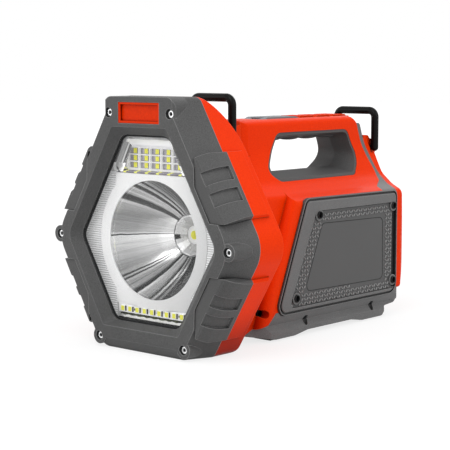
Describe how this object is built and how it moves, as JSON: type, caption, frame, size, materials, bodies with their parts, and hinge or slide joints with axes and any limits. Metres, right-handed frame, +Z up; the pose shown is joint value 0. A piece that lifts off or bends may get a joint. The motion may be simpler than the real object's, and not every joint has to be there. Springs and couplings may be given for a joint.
{
  "type": "rechargeable spotlight and work light",
  "caption": "Hand-held rechargeable spotlight with a hexagonal lamp head, LED work lights, a carry handle, screwed side panels and folding wire hanging loops.",
  "frame": {"origin": "middle of the footprint, on the floor", "axes": "-Y the way the lamp shines, +Z up"},
  "size_m": [0.2106, 0.305, 0.2125],
  "materials": {
    "bezel": "fine speckled grey plastic",
    "bumper": "moulded grey rubber",
    "badge": "bare red plate",
    "screws": "plated screws",
    "lens": "clear flat window",
    "gasket": "black seal",
    "ring_plate": "white plate",
    "lamp_frame": "silvered, finely ribbed",
    "reflector": "polished reflector",
    "collar": "faceted bright collar",
    "emitter": "yellow phosphor dome",
    "lamp_board": "white metal board",
    "tray": "mirrored tray",
    "leds": "yellow LEDs in white frames",
    "led_board": "white circuit board",
    "shell": "satin red plastic",
    "heat_sink": "cast and machined",
    "housing": "satin red plastic",
    "liner": "soft dark grey",
    "cap": "soft red ridges",
    "pad": "soft grey",
    "button": "soft black",
    "board": "green circuit board",
    "panel": "grey tread plate",
    "dark_screws": "black screws",
    "base": "fine textured grey plastic",
    "feet": "black rubber",
    "frame": "fine textured grey plastic",
    "cover": "satin red plastic",
    "flap": "soft black",
    "sockets": "black socket block",
    "bail": "satin black coating",
    "cells": "blue wrap",
    "holder": "black frame"
  },
  "bodies": {
    "lamp": {"front_bezel": "bezel", "bumper_upper_left": "bumper", "bumper_upper_right": "bumper", "bumper_lower_left": "bumper", "bumper_lower_right": "bumper", "badge_insert": "badge", "bezel_screws": "screws", "lens": "lens", "lens_gasket": "gasket", "ring_plate": "ring_plate", "lamp_frame": "lamp_frame", "spot_reflector": "reflector", "reflector_collar": "collar", "spot_led": "emitter", "spot_board": "lamp_board", "upper_tray": "tray", "upper_leds": "leds", "upper_board": "led_board", "lower_tray": "tray", "lower_leds": "leds", "lower_board": "led_board", "head_shell": "shell", "head_screws": "screws", "heat_sink": "heat_sink", "housing_left": "housing", "housing_right": "housing", "housing_screws": "screws", "handle_liner": "liner", "handle_cap": "cap", "switch_pad": "pad", "switch_board": "board", "side_panel_left": "panel", "side_panel_right": "panel", "panel_screws": "dark_screws", "base_housing": "base", "base_screws": "dark_screws", "feet": "feet", "rear_frame": "frame", "rear_cover": "cover", "port_pin": "dark_screws", "charge_sockets": "sockets", "battery_cells": "cells", "cell_holder_left": "holder", "cell_holder_right": "holder", "control_board": "board"},
    "front_bail": {"front_bail": "bail"},
    "rear_bail": {"rear_bail": "bail"},
    "spot_button": {"spot_button": "button"},
    "work_button": {"work_button": "button"},
    "port_cover": {"port_cover": "flap"}
  },
  "joints": [
    {"name": "front_bail_swing", "type": "hinge", "parent": "lamp", "child": "front_bail", "pos_m": [0, -0.0622, 0.1738], "axis": [1, 0, 0], "range_deg": [-45, 60]},
    {"name": "rear_bail_swing", "type": "hinge", "parent": "lamp", "child": "rear_bail", "pos_m": [0, 0.1448, 0.158], "axis": [1, 0, 0], "range_deg": [-105, 25]},
    {"name": "spot_button_press", "type": "slide", "parent": "lamp", "child": "spot_button", "axis": [0, 0, -1], "range_m": [0, 0.001], "stiffness_N_per_m": 900},
    {"name": "work_button_press", "type": "slide", "parent": "lamp", "child": "work_button", "axis": [0, 0, -1], "range_m": [0, 0.001], "stiffness_N_per_m": 900},
    {"name": "port_cover_swing", "type": "hinge", "parent": "lamp", "child": "port_cover", "pos_m": [0, 0.1502, 0.078], "axis": [1, 0, 0], "range_deg": [0, 110]}
  ]
}
